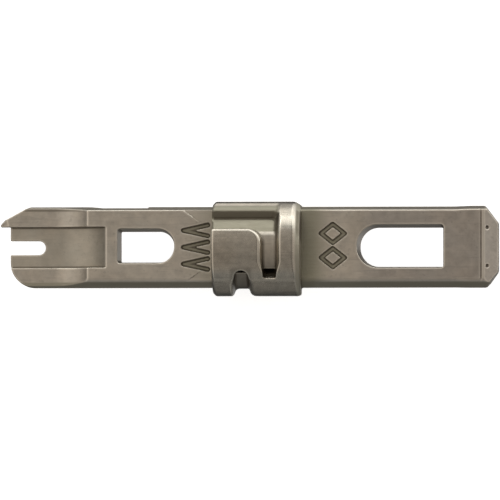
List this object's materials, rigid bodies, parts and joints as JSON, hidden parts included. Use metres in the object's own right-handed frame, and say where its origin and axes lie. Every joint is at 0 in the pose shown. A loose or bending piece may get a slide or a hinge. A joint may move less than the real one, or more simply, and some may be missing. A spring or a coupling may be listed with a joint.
{
  "type": "punch down tool blade",
  "caption": "Reversible two-ended steel blade for a punch down tool, with a wire-cutting fork end, a plain clip-slot end and a round bayonet collar.",
  "frame": {"origin": "middle of the blade's whole box, on the axis of the bayonet collar", "axes": "+X along the blade from the wire-cutting fork end to the clip-slot end, +Y across the width towards the cutter strip's side, +Z out of one broad face"},
  "size_m": [0.07, 0.0132, 0.0132],
  "materials": {
    "bar_steel": "warm grey satin cast steel with fine wear",
    "collar_steel": "warm grey satin cast steel, polished where the chuck slides over it"
  },
  "bodies": {
    "root": {"blade_bar": "bar_steel", "bayonet_collar": "collar_steel"}
  },
  "joints": []
}
